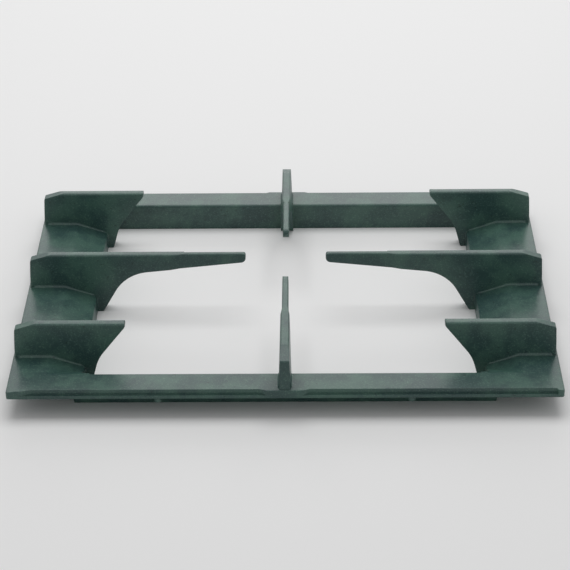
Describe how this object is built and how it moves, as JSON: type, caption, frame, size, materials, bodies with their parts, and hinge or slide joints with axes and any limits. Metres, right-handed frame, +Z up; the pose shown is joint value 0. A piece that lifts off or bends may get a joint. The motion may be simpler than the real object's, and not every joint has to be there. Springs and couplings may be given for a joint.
{
  "type": "stove grate",
  "caption": "Rectangular cast-iron burner grate with a drafted frame, eight pan-support webs around an open middle, and thin nibs that point at the burner's centre",
  "frame": {"origin": "Centre of the footprint, on the plane the grate stands on", "axes": "+X along the width to the right, +Y from the front bar to the rear bar, +Z up towards the pan"},
  "size_m": [0.395, 0.3, 0.0485],
  "materials": {
    "cast_iron_green": "satin, sand-cast, thin dark green-black coating"
  },
  "bodies": {
    "root": {"grate": "cast_iron_green"}
  },
  "joints": []
}
